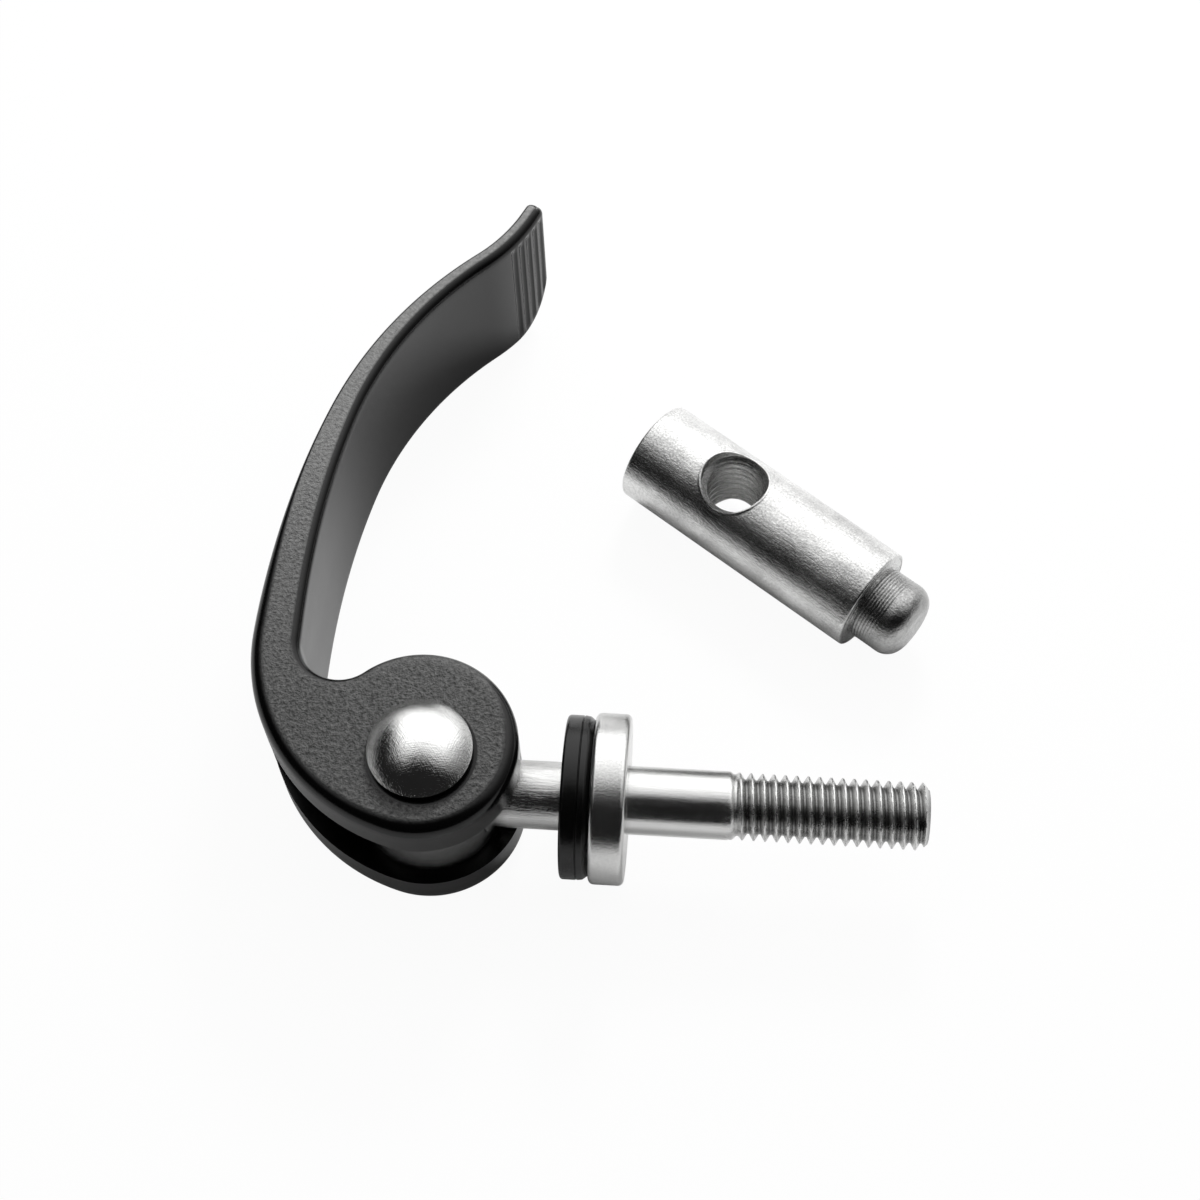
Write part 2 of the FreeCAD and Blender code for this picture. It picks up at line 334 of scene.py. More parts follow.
# %% [markdown]
# The heel is the arc that stands upright at the root and touches the cam. The cam and the heel
# are cut where the slot's flat roof meets them, so that the slot's corners fall on points of
# the outline. Joining the pieces in order gives one closed line of about 750 points.

# %% Close the outline
SHANK_R, EYE_R, EYE_HALF = 3.0, 6.25, 3.8
SHANK_GAP, EYE_GAP, SIDE_GAP = 0.35, 0.45, 0.2
ROOF, POCKET_R, SLOT_HALF = SHANK_R + SHANK_GAP, EYE_R + EYE_GAP, EYE_HALF + SIDE_GAP
CROOK_POINTS, HEEL_POINTS, SLOT_HEEL_POINTS, CAM_POINTS = 40, 24, 30, 50


def arc(x, y, radius, start, end, count):
    """Points on a circle from one angle up to, but not including, another (degrees)."""
    angle = np.radians(np.linspace(start, end, count, endpoint=False))
    return np.stack([x + radius * np.cos(angle), y + radius * np.sin(angle)], 1)


crook_to_cam = math.degrees(math.atan2(CAM_Y - CROOK_Y, CAM_X - CROOK_X))
reach_x, rise = OUTER_X - CAM_X, ROOT_Y - CAM_Y
HEEL_R = (CAM_R ** 2 - reach_x ** 2 - rise ** 2) / (2 * (reach_x + CAM_R))
HEEL_X = OUTER_X + HEEL_R
heel_end = math.degrees(math.atan2(CAM_Y - ROOT_Y, CAM_X - HEEL_X)) + 360
heel_roof = 180 + math.degrees(math.asin((ROOT_Y - ROOF) / HEEL_R))
cam_roof = 360 + math.degrees(math.asin((ROOF - CAM_Y) / CAM_R))
chain = [
    ("crook", arc(CROOK_X, CROOK_Y, CROOK_R, crook_to_cam, -180, CROOK_POINTS)),
    ("root", np.array([[INNER_X, CROOK_Y]])),
    ("inner", inner_face),
    ("nose", np.concatenate([inner_nose[1:], outer_nose[::-1][:-1]])),
    ("outer", outer_face[::-1]),
    ("heel", arc(HEEL_X, ROOT_Y, HEEL_R, 180, heel_roof, HEEL_POINTS)[1:]),
    ("slot_heel", arc(HEEL_X, ROOT_Y, HEEL_R, heel_roof, heel_end, SLOT_HEEL_POINTS)),
    ("slot_cam", arc(CAM_X, CAM_Y, CAM_R, heel_end, cam_roof, CAM_POINTS)),
    ("cam", arc(CAM_X, CAM_Y, CAM_R, cam_roof, crook_to_cam + 540, CAM_POINTS)),
]
outline = np.concatenate([points for _, points in chain])
starts = np.cumsum([0] + [len(points) for _, points in chain])
first = {name: int(start) for (name, _), start in zip(chain, starts)}
columns = len(outline)
print("outline of", columns, "points")

# %% [markdown]
# ## The lever's edges
# Cast edges are round. The rounding is largest round the cam and smaller on the inside of the
# blade, and the outside of the blade is nearly sharp. At the tip the width falls along an
# ellipse, small at the front corner and large at the rear one. Grip grooves are circular
# scallops pressed into the inside of the tip. A Bevel modifier would need a weight on every
# edge, so each of these is an array instead, with one number for every point of the outline.

# %% Edges, tip corners and grip grooves
CORNER_FRONT, CORNER_REAR, TIP_ZONE_Y = (1.8, 0.4), (6.0, 7.5), 45.0
EDGE_HEAD, EDGE_INNER, EDGE_OUTER = 1.35, 0.9, 0.28
EDGE_SHARE, EDGE_FADE = 1.1, 0.4
GROOVES, GROOVE_PITCH, GROOVE_R, GROOVE_DEPTH, GROOVE_MARGIN = 5, 1.05, 0.42, 0.22, 1.1
ahead = np.roll(outline, -1, 0) - np.roll(outline, 1, 0)
ahead /= np.linalg.norm(ahead, axis=1)[:, None]
inward = np.stack([-ahead[:, 1], ahead[:, 0]], 1)
from_tip = (tip_point[0] - outline) @ tip_way
by_tip = outline[:, 1] > TIP_ZONE_Y


def corner_fall(length, depth):
    """How far the width has fallen at each outline point: a quarter ellipse close to the tip."""
    into = np.clip(1 - from_tip / length, 0, 1) * by_tip
    return depth * (1 - np.sqrt(1 - into ** 2))


edge_inner = np.minimum(EDGE_INNER, EDGE_SHARE * blade_half(share))
outer_fade = (1 + np.cos(np.pi * np.clip(share / EDGE_FADE, 0, 1))) / 2
edge_outer = EDGE_OUTER + (EDGE_HEAD - EDGE_OUTER) * outer_fade
nose_count = first["outer"] - first["nose"]
edge = np.full(columns, EDGE_HEAD)
edge[:first["inner"]] = np.linspace(EDGE_HEAD, EDGE_INNER, first["inner"])
edge[first["inner"]:first["nose"]] = edge_inner
edge[first["nose"]:first["outer"]] = np.linspace(edge_inner[-1], EDGE_OUTER, nose_count)
edge[first["outer"]:first["heel"]] = edge_outer[::-1]
groove_at = GROOVE_MARGIN + GROOVE_PITCH * np.arange(GROOVES)
from_groove = (1 - share)[:, None] * BLADE_LENGTH - groove_at
scallop = GROOVE_DEPTH - GROOVE_R + np.sqrt(np.clip(GROOVE_R ** 2 - from_groove ** 2, 0, None))
groove = np.zeros(columns)
groove[first["inner"]:first["nose"]] = np.clip(scallop, 0, None).max(axis=1)
print("edge rounding", edge.min().round(2), "to", edge.max().round(2), "mm")

# %% [markdown]
# ## The lever's body
# The outline is carried across the width. A section of the edge is a quarter round: as it turns
# by an angle, the outline shrinks by the rounding times one minus its sine, and the height drops
# by the rounding times one minus its cosine. The rows of the grid run from one side face over
# its rounded edge, down the wall and over the other edge. The first row lies a little way into
# the flat face, which holds its shading flat. Rows at the top of the wall let the grooves fade,
# so that the silhouette stays smooth. Two rows in the middle are the lips of the slot, and near
# the tip, where the wall is narrower, they share out what is left.

# %% Lever grid
EDGE_ROWS, GROOVE_DROPS, GROOVE_SHARES = 8, [1.5, 2.2], [0.5, 1.0]
FACE_HOLD, NOSE_CLEAR = 0.05, 1.0
turn = np.radians(np.linspace(0, 90, EDGE_ROWS))
shrink = np.concatenate([[1.0], 1 - np.sin(turn), [0.0, 0.0]])
drop = np.concatenate([[0.0], 1 - np.cos(turn), GROOVE_DROPS])
pressed = np.concatenate([np.zeros(EDGE_ROWS + 1), GROOVE_SHARES])
inset = edge[:, None] * shrink
inset[:, 0] += FACE_HOLD * (from_tip > NOSE_CLEAR)
top = WIDTH - corner_fall(*CORNER_FRONT)[:, None] - edge[:, None] * drop
low = corner_fall(*CORNER_REAR)[:, None] + edge[:, None] * drop
third = (top[:, -1] - low[:, -1]) / 3
lip_top = np.where(by_tip, top[:, -1] - third, MID + SLOT_HALF)
lip_low = np.where(by_tip, low[:, -1] + third, MID - SLOT_HALF)
height = np.column_stack([top, lip_top, lip_low, low[:, ::-1]])
offsets = np.column_stack([inset, np.zeros((columns, 2)), inset[:, ::-1]])
depth = groove[:, None] * np.concatenate([pressed, [1, 1], pressed[::-1]])
rows = offsets.shape[1]
flat = outline[:, None] + inward[:, None] * (offsets + depth)[:, :, None]
lever_points = np.concatenate([flat, height[:, :, None]], 2).reshape(-1, 3)
print("lever grid", columns, "by", rows)

# %% [markdown]
# The grain attribute says where the coat is grainy and where it is smooth. The grain starts
# three quarters of the way over a rounded edge, counted from the wall. On top of the cam and in
# the inner corner, the edges that face the light, it starts nearer to the wall. There its paler
# tone reaches further round: real grain, and in part a painted highlight on those lit edges.

# %% Grain of the lever
GRAIN_FROM, LIT_EDGE_LIFT, GRAIN_STEEP = 0.75, 0.5, 4
TOP_SLOPE, TOP_START = 1.6, 0.36
grain_from = np.full(columns, GRAIN_FROM)
# Edges that face the light get the paler grainy tone further round: partly a painted highlight.
facing_light = np.clip(-TOP_SLOPE * inward[first["cam"]:, 1] - TOP_START, 0, 1)
grain_from[first["cam"]:] -= LIT_EDGE_LIFT * facing_light
grain_from[:first["inner"]] -= LIT_EDGE_LIFT * np.linspace(1, 0, first["inner"])
past_start = offsets / edge[:, None] - grain_from[:, None]
lever_grain = np.clip(past_start * GRAIN_STEEP, 0, 1).reshape(-1)
print("grain averages", round(float(lever_grain.mean()), 2), "over the grid")

# %% [markdown]
# Faces come next. The grid wraps round the outline, but its middle band is left open along the
# slot. The two side faces are a ladder of quads between matching points of the blade, and one
# flat many-sided face over the heel and the cam.

# %% Lever faces
index = np.arange(columns * rows).reshape(columns, rows)
wrapped = np.concatenate([index, index[:1]], 0)
quads = np.stack([wrapped[:-1, :-1], wrapped[1:, :-1], wrapped[1:, 1:], wrapped[:-1, 1:]], -1)
keep = np.ones(quads.shape[:2], bool)
slot_band = rows // 2 - 1
keep[first["slot_heel"]:first["cam"], slot_band] = False
lever_faces = quads[keep].tolist()
rungs = np.arange((first["heel"] - first["inner"]) // 2 - 1)
inner_column = first["inner"] + rungs
outer_column = first["heel"] - 1 - rungs
head = np.concatenate([np.arange(first["heel"] - 1, columns), np.arange(first["inner"] + 1)])
for row in (0, rows - 1):
    ladder = [index[inner_column, row], index[inner_column + 1, row],
              index[outer_column - 1, row], index[outer_column, row]]
    lever_faces += np.stack(ladder, 1).tolist()
    lever_faces.append(index[head, row].tolist())
print("lever skin of", len(lever_faces), "faces")

# %% [markdown]
# The slot lets the eye of the bolt swing between the two ears. It has a flat roof, with a round
# pocket that clears the eye, and the flat inner faces of the ears. The roof is one strip across
# the slot, and each ear's inner face is one many-sided face between the roof and the cam's rim.

# %% Slot of the lever
ROOF_POINTS = 40
pocket_x = math.sqrt(POCKET_R ** 2 - ROOF ** 2)
pocket_start = math.degrees(math.atan2(ROOF, pocket_x))
roof_path = np.concatenate([
    outline[first["cam"]][None],
    arc(0, 0, POCKET_R, pocket_start, 180 - pocket_start, ROOF_POINTS),
    [[-pocket_x, ROOF]],
    outline[first["slot_heel"]][None]])
count = len(roof_path)
roof_rows = [np.column_stack([roof_path, np.full(count, MID + side * SLOT_HALF)]) for side in (1, -1)]
base = len(lever_points)
lever_faces += grid_faces(2, count, base)
rim_columns = np.arange(first["slot_heel"], first["cam"] + 1)
for k in (0, 1):
    rim = index[rim_columns, slot_band + k].tolist()
    lever_faces.append(rim + list(range(base + k * count + 1, base + k * count + count - 1)))
lever_points = np.concatenate([lever_points] + roof_rows)
lever_grain = np.concatenate([lever_grain, np.zeros(2 * count)])
build("lever_body", lever_points, lever_faces, "lever", "lever", "black_coating", crease=40.0,
      grain=lever_grain)

# %% [markdown]
# ## Turned pieces
# The pin, both washers and the eye are turned on a lathe or moulded round. Each is a half
# outline of corners with a rounding at each corner, carried round an axis. A corner becomes a
# short arc, and each straight run gets a point close to both of its ends, so that the smooth
# shading of a flat face isn't pulled over by the round next to it.

# %% Turning helpers
TURNED_COLUMNS = 128


def rounded(corners, steps=6, near=0.05):
    """Outline through (along, radius, rounding) corners: arcs at corners, held straight runs."""
    corners = np.array(corners, float)
    pieces = []
    for k, (along, radius, rounding) in enumerate(corners):
        point = np.array([along, radius])
        if rounding == 0 or k in (0, len(corners) - 1):
            pieces.append(point[None])
            continue
        back = corners[k - 1, :2] - point
        on = corners[k + 1, :2] - point
        back /= np.linalg.norm(back)
        on /= np.linalg.norm(on)
        half = math.acos(np.clip(back @ on, -1, 1)) / 2
        centre = point + (back + on) / np.linalg.norm(back + on) * rounding / math.sin(half)
        start = point + back * rounding / math.tan(half) - centre
        end = point + on * rounding / math.tan(half) - centre
        turn = math.pi - 2 * half
        w = np.linspace(0, 1, steps + 1)[:, None]
        swept = (np.sin((1 - w) * turn) * start + np.sin(w * turn) * end) / math.sin(turn)
        pieces.append(centre + swept)
    held = [pieces[0]]
    for before, after in zip(pieces, pieces[1:]):
        run = after[0] - before[-1]
        length = np.linalg.norm(run)
        if length > 4 * near:
            inset = run * near / length
            held.append(np.stack([before[-1] + inset, after[0] - inset]))
        held.append(after)
    return np.concatenate(held)


def carried_round(profile, base, axis, columns):
    """Points of an outline of (along, radius) carried round an axis, first column repeated last."""
    axis = np.array(axis, float)
    up = np.array([0.0, 0.0, 1.0]) if abs(axis[2]) < 0.5 else np.array([1.0, 0.0, 0.0])
    side = np.cross(axis, up)
    angle = np.linspace(0, 2 * np.pi, columns + 1)[None, :, None]
    spoke = np.cos(angle) * up + np.sin(angle) * side
    along, radius = profile[:, 0][:, None, None], profile[:, 1][:, None, None]
    return np.array(base) + along * axis + radius * spoke


def turned_piece(name, profile, base, axis, body, node, finish):
    """Build a carried-round outline as a piece of its own."""
    points = carried_round(profile, base, axis, TURNED_COLUMNS)
    faces = grid_faces(len(profile), TURNED_COLUMNS + 1)
    build(name, points.reshape(-1, 3), faces, body, node, finish)


print("an outline with one rounded corner has", len(rounded([(0, 0, 0), (0, 1, 0.2), (1, 1, 0)])), "points")

# %% [markdown]
# ## The cam pin
# The pin's head is the brightest thing on the part: a low dome of polished steel with a thin
# rim that stands just clear of the coat. Its polish is a fine web of scratches in every
# direction, so three stretched noises, turned against each other, share one shallow bump. A
# deeper bump would blur the studio's reflection and make the dome look like satin.

# %% Polished steel
WEB_TURNS, SCRATCH_DEEP = (0.3, 1.4, 2.5), 0.000018
PIN_ROUGH, PIN_TONE = (0.06, 0.14), (0.70, 0.90)
tree, shader = new_finish("polished_steel")
shader.inputs["Metallic"].default_value = 1.0
web = None
for turn_z in WEB_TURNS:
    scratch = noise(tree, 1300.0, stretch=(9, 1, 1), turn=(0.2, 0.1, turn_z), detail=2.0, rough=0.6)
    web = bump(tree, scratch, SCRATCH_DEEP, normal=web)
haze = noise(tree, 700.0, detail=5.0, rough=0.65)
pin_rough = over_noise(tree, haze, *PIN_ROUGH)
connect("polished_steel", tree, shader, web, pin_rough, mix_greys(tree, haze, *PIN_TONE))

# %% Pin
PIN_R, HEAD_R, HEAD_LAND, DOME = 3.0, 4.5, 0.75, 2.1
RIM_GAP, NECK_IN, RIM_ROUND, FOOT_ROUND = 0.66, 1.2, 0.03, 0.25
DOME_SHARE, DOME_POINTS = 0.97, 28
BALL_R = (HEAD_R ** 2 + DOME ** 2) / (2 * DOME)
rim_angle = math.asin(HEAD_R / BALL_R)
dome_angle = np.linspace(rim_angle * DOME_SHARE, 0, DOME_POINTS)
dome_z = WIDTH + HEAD_LAND + DOME - BALL_R + BALL_R * np.cos(dome_angle)
dome = np.stack([dome_z, BALL_R * np.sin(dome_angle)], 1)
rim_foot, neck_r = WIDTH + RIM_GAP, HEAD_R - NECK_IN
pin_foot = rounded([(0, 0, 0), (0, PIN_R, FOOT_ROUND), (WIDTH, PIN_R, 0), (WIDTH, neck_r, 0)])
pin_rim = rounded([(rim_foot, neck_r, 0), (rim_foot, HEAD_R, RIM_ROUND), (WIDTH + HEAD_LAND, HEAD_R, 0)])
pin_profile = np.concatenate([pin_foot, pin_rim, dome])
turned_piece("cam_pin", pin_profile, (0, 0, 0), (0, 0, 1), "lever", "pivot_pin", "polished_steel")

# %% [markdown]
# ## Washers
# A black moulded washer takes the cam's wear, and a bright plated one bears on the clamp. The
# moulded one has a parting seam round its rim, a taper towards its neighbour and a recess
# towards the cam. It is glossy enough to show the bright sky on its upper side. The plated one
# is a plain ring with well rounded rims.

# %% Black plastic
MOULD_HIGH, MOULD_STRENGTH, MOULD_GLOSS = 0.000020, 0.5, 0.36
MOULD_ROUGH, MOULD_TONE = (0.19, 0.30), (0.001, 0.003)
tree, shader = new_finish("black_plastic")
moulding = noise(tree, 2600.0, detail=3.0)
flow = noise(tree, 300.0, stretch=(4, 1, 1), detail=2.0)
mould_bump = bump(tree, moulding, MOULD_HIGH, strength=MOULD_STRENGTH)
mould_rough = over_noise(tree, flow, *MOULD_ROUGH)
shader.inputs["Specular IOR Level"].default_value = MOULD_GLOSS
connect("black_plastic", tree, shader, mould_bump, mould_rough, mix_greys(tree, flow, *MOULD_TONE))

# %% Plated steel
SPECK_HIGH, LINE_HIGH = 0.000020, 0.000008
PLATE_ROUGH, PLATE_TONE = (0.15, 0.26), (0.50, 0.85)
tree, shader = new_finish("plated_steel")
shader.inputs["Metallic"].default_value = 1.0
plate_speck = noise(tree, 5200.0, detail=4.0, rough=0.7)
plate_cloud = noise(tree, 350.0, detail=3.0)
lathe_line = noise(tree, 500.0, stretch=(16, 1, 1), detail=2.0)
plate_bump = bump(tree, plate_speck, SPECK_HIGH, normal=bump(tree, lathe_line, LINE_HIGH))
plate_rough = over_noise(tree, plate_cloud, *PLATE_ROUGH)
plate_tone = mix_greys(tree, plate_speck, *PLATE_TONE)
connect("plated_steel", tree, shader, plate_bump, plate_rough, plate_tone)

# %% Washers
BORE_GAP = 0.08
BORE_R = SHANK_R + BORE_GAP
CAM_WASHER_R, CAM_WASHER_THICK, RECESS_R, RECESS_DEEP = 7.2, 2.45, 4.4, 0.9
SEAM_AT, SEAM_HALF, SEAM_DEEP = 1.46, 0.08, 0.12
TAPER_AT, TAPER_R, TAPER_END_R = 2.0, 7.14, 6.78
STEEL_R, STEEL_THICK, STEEL_ROUND, BORE_BREAK = 7.5, 3.1, 0.5, 0.3
FROM_CAM, WASHER_GAP = 3.75, 0.05
cam_washer_profile = rounded([
    (RECESS_DEEP, BORE_R, 0), (RECESS_DEEP, RECESS_R, 0.15), (0, RECESS_R, 0.12),
    (0, CAM_WASHER_R, 0.32), (SEAM_AT - SEAM_HALF, CAM_WASHER_R, 0.05),
    (SEAM_AT, CAM_WASHER_R - SEAM_DEEP, 0.03), (SEAM_AT + SEAM_HALF, CAM_WASHER_R, 0.06),
    (TAPER_AT, TAPER_R, 0.25), (CAM_WASHER_THICK, TAPER_END_R, 0.15),
    (CAM_WASHER_THICK, BORE_R, 0.1), (RECESS_DEEP, BORE_R, 0)])
steel_washer_profile = rounded([
    (BORE_BREAK, BORE_R, 0), (0, BORE_R + BORE_BREAK, 0.08), (0, STEEL_R, STEEL_ROUND),
    (STEEL_THICK, STEEL_R, STEEL_ROUND), (STEEL_THICK, BORE_R + BORE_BREAK, 0.08),
    (STEEL_THICK - BORE_BREAK, BORE_R, 0), (BORE_BREAK, BORE_R, 0)])
washer_x = CAM_X + CAM_R + FROM_CAM
steel_x = washer_x + CAM_WASHER_THICK + WASHER_GAP
X_WAY = (1, 0, 0)
turned_piece("moulded_washer", cam_washer_profile, (washer_x, 0, MID), X_WAY, "plastic_washer",
             "cam_washer", "black_plastic")
turned_piece("plated_washer", steel_washer_profile, (steel_x, 0, MID), X_WAY, "metal_washer",
             "steel_washer", "plated_steel")

# %% [markdown]
# ## The eye bolt's steel
# The bolt is drawn steel, and drawing leaves lines along it, so its noise is finer across the
# axis than along it. Next to the cam the steel is scratched and darker. The thread's roots and the
# eye, which sits in the lever's slot, are darker still: painted shade for the crevices of the
# thread and the slot. A painted texture would need a UV map, so each of these is a tone that is
# mixed in by place: along the bolt, or, for the roots, by the distance from the axis.

# %% Bolt steel
SCRATCHED_X, BY_CAM_X, EYE_SHADE_X = (0.010, 0.016), (0.0110, 0.0125), (0.0062, 0.0072)
THREAD_X, ROOT_SHADE_R = (0.0255, 0.0268), (0.00234, 0.00280)
DRAWN_HIGH, PIT_HIGH, FAR_SCRATCH = 0.000040, 0.000012, 0.2
SHANK_ROUGH, THREAD_ROUGH = (0.14, 0.24), (0.24, 0.34)
SHANK_TONE, ROOT_SHADE_TONE, CAM_SIDE_TONE, EYE_SHADE_TONE = (0.55, 0.85), (0.14, 0.34), (0.42, 0.82), (0.16, 0.40)
tree, shader = new_finish("bolt_steel")
shader.inputs["Metallic"].default_value = 1.0
drawn = noise(tree, 420.0, stretch=(1, 16, 16), detail=4.0, rough=0.75)
drawn_soft = noise(tree, 200.0, stretch=(1, 9, 9), detail=2.0)
pits = noise(tree, 5200.0, detail=3.0, rough=0.7)
axis_place = (0.0, 0.0, MID * MM)
bolt_at = add(tree, "ShaderNodeVectorMath", "SUBTRACT", _0=object_place(tree), _1=axis_place).outputs[0]
bolt_x = add(tree, "ShaderNodeSeparateXYZ", _0=bolt_at).outputs[0]
across = add(tree, "ShaderNodeVectorMath", "MULTIPLY", _0=bolt_at, _1=(0.0, 1.0, 1.0)).outputs[0]
from_axis = add(tree, "ShaderNodeVectorMath", "LENGTH", _0=across).outputs["Value"]
scratched = spread(tree, bolt_x, *SCRATCHED_X, 1.0, FAR_SCRATCH)
drawn_bump = bump(tree, drawn, DRAWN_HIGH, strength=scratched)
bolt_bump = bump(tree, pits, PIT_HIGH, normal=drawn_bump)
on_thread = spread(tree, bolt_x, *THREAD_X, 0.0, 1.0)
shank_rough, thread_rough = [over_noise(tree, drawn_soft, *ends) for ends in (SHANK_ROUGH, THREAD_ROUGH)]
bolt_rough = mix_values(tree, on_thread, shank_rough, thread_rough)
bolt_tone = mix_greys(tree, drawn, *SHANK_TONE)
# Darker tones mixed in by place: painted shade in the thread's roots and on the eye in the slot, and
# scratched steel next to the cam.
for value, span, tone in ((from_axis, ROOT_SHADE_R, ROOT_SHADE_TONE), (bolt_x, BY_CAM_X, CAM_SIDE_TONE),
                          (bolt_x, EYE_SHADE_X, EYE_SHADE_TONE)):
    inside = spread(tree, value, *span, 1.0, 0.0)
    bolt_tone = mix_colours(tree, inside, bolt_tone, mix_greys(tree, drawn, *tone))
connect("bolt_steel", tree, shader, bolt_bump, bolt_rough, bolt_tone)

# %% [markdown]
# ## The eye bolt
# The bolt has a rolled M6 thread. On a grid of place along the bolt and angle, the thread is one
# formula: how far a point is from the nearest crest of a helix, along the axis, gives its depth,
# with a slope of 60 degrees between a narrow crest and a wider root. The depth grows over the
# first turns, where the rolling dies run out, and the end is chamfered. The shank swells where
# it leaves the eye.

# %% Thread formula
REACH, THREAD_R, THREAD_FROM, PITCH, CREST_AT = 43.7, 2.95, 26.3, 1.0, 27.37
THREAD_DEPTH, RUN_OUT, STEP_LONG, END_CHAMFER, NECK = 0.6134, 1.5, 0.375, 0.55, 0.5
CREST_FLAT, FLANK = PITCH / 16, math.tan(math.radians(60))


def stud_radius(x, angle):
    """Shank radius, plus a swelling at the eye, less the thread's depth at its helix."""
    rim = np.sqrt(EYE_R ** 2 - (SHANK_R * np.sin(angle)) ** 2)
    neck = np.clip((x - rim) / NECK, 0, 1)
    swell = NECK * (1 - np.sqrt(1 - (1 - neck) ** 2))
    started = np.clip((x - THREAD_FROM) / RUN_OUT, 0, 1)
    outer = SHANK_R + (THREAD_R - SHANK_R) * np.clip((x - THREAD_FROM) / STEP_LONG, 0, 1)
    turns = (x - CREST_AT) / PITCH - angle / (2 * np.pi)
    from_crest = np.abs(turns - np.round(turns)) * PITCH
    depth = np.clip((from_crest - CREST_FLAT) * FLANK, 0, THREAD_DEPTH)
    radius = outer + swell - depth * started
    return np.minimum(radius, THREAD_R - END_CHAMFER + REACH - x)


print("thread of", round((REACH - THREAD_FROM) / PITCH), "turns")

# %% [markdown]
# The grid is close along the thread and wider along the plain shank. A ring of radius zero at
# both ends closes it. The eye is a ring of its own, and the shank starts inside it.

# %% Bolt
NECK_X, PLAIN_X, THREAD_STEP, STUD_COLUMNS = (4.6, 7.0, 25), (7.2, 26.2, 40), 0.05, 121
EYE_BORE, EYE_ROUND, BORE_ROUND, EYE_COLUMNS = 3.05, 0.4, 0.15, 96
thread_x = np.arange(PLAIN_X[1] + THREAD_STEP, REACH, THREAD_STEP)
stud_x = np.concatenate([np.linspace(*NECK_X), np.linspace(*PLAIN_X), thread_x, [REACH]])
stud_angle = np.linspace(0, 2 * np.pi, STUD_COLUMNS)
grid_x, grid_angle = np.meshgrid(stud_x, stud_angle, indexing="ij")
stud_r = stud_radius(grid_x, grid_angle)
grid_x = np.concatenate([grid_x[:1], grid_x, grid_x[-1:]])
stud_r = np.concatenate([0 * stud_r[:1], stud_r, 0 * stud_r[-1:]])
grid_angle = np.concatenate([grid_angle[:1], grid_angle, grid_angle[-1:]])
stud = np.stack([grid_x, -stud_r * np.sin(grid_angle), MID + stud_r * np.cos(grid_angle)], -1)
eye_profile = rounded([
    (0, EYE_BORE, 0), (-EYE_HALF, EYE_BORE, BORE_ROUND), (-EYE_HALF, EYE_R, EYE_ROUND),
    (EYE_HALF, EYE_R, EYE_ROUND), (EYE_HALF, EYE_BORE, BORE_ROUND), (0, EYE_BORE, 0)])
eye = carried_round(eye_profile, (0, 0, MID), (0, 0, 1), EYE_COLUMNS)
stud_faces = grid_faces(*stud.shape[:2])
eye_faces = grid_faces(*eye.shape[:2], first=stud.shape[0] * stud.shape[1])
bolt_points = np.concatenate([stud.reshape(-1, 3), eye.reshape(-1, 3)])
build("threaded_eye_bolt", bolt_points, stud_faces + eye_faces, "bolt", "eye_bolt", "bolt_steel",
      crease=50.0)

# %% [markdown]
# ## The barrel nut's steel
# The nut is turned from bar and plated. The plating is mottled, so a fine noise and a cloudy one
# are added up for its tone, and shallow bumps break up what it mirrors. The pattern is turned to
# the nut's axis. The stub is smoother than the barrel, and its darker tone is painted shade,
# because its end faces away from the light. A mask along the axis tells them apart.

# %% Turned steel
NUT_BASE, NUT_ANGLE = np.array([17.65, 37.68, 5.0]), math.radians(-35.4)
BARREL_R, BARREL_LENGTH = 5.0, 26.0
DAPPLE_HIGH, MOTTLE_HIGH, STREAK_HIGH = 0.000034, 0.000040, 0.000020
MOTTLE_SUM, STUB_SOFT = (0.68, 1.22), 0.0001
BARREL_ROUGH, STUB_ROUGH = (0.15, 0.28), (0.10, 0.20)
# Painted shade: the stub's darker tone stands in for the shade on its end, which faces away from the light.
BARREL_TONE, STUB_SHADE_TONE = (0.38, 0.92), (0.14, 0.50)
tree, shader = new_finish("turned_steel")
shader.inputs["Metallic"].default_value = 1.0
lie = (0, 0, -NUT_ANGLE)
cloud = noise(tree, 330.0, turn=lie, stretch=(0.6, 1, 1), detail=5.0, rough=0.65)
mottle = noise(tree, 5200.0, turn=lie, detail=4.0, rough=0.7)
dapple = noise(tree, 1100.0, turn=lie, stretch=(0.5, 1, 1), detail=3.0, rough=0.6)
streak = noise(tree, 420.0, turn=lie, stretch=(1, 12, 12), detail=3.0, rough=0.7)
nut_bump = None
for relief, metres in ((dapple, DAPPLE_HIGH), (mottle, MOTTLE_HIGH), (streak, STREAK_HIGH)):
    nut_bump = bump(tree, relief, metres, normal=nut_bump)
along_nut = add(tree, "ShaderNodeMapping", Vector=object_place(tree), Rotation=lie).outputs[0]
nut_x = add(tree, "ShaderNodeSeparateXYZ", _0=along_nut).outputs[0]
nut_way = np.array([math.cos(NUT_ANGLE), math.sin(NUT_ANGLE), 0.0])
stub_from = float(NUT_BASE @ nut_way + BARREL_LENGTH) * MM
on_stub = spread(tree, nut_x, stub_from - STUB_SOFT, stub_from + STUB_SOFT, 0.0, 1.0)
nut_roughs = [over_noise(tree, cloud, *ends) for ends in (BARREL_ROUGH, STUB_ROUGH)]
nut_rough = mix_values(tree, on_stub, *nut_roughs)
mottled = spread(tree, calc(tree, "ADD", mottle, cloud), *MOTTLE_SUM, 0.0, 1.0)
nut_tones = [mix_greys(tree, mottled, *ends) for ends in (BARREL_TONE, STUB_SHADE_TONE)]
connect("turned_steel", tree, shader, nut_bump, nut_rough, mix_colours(tree, on_stub, *nut_tones))

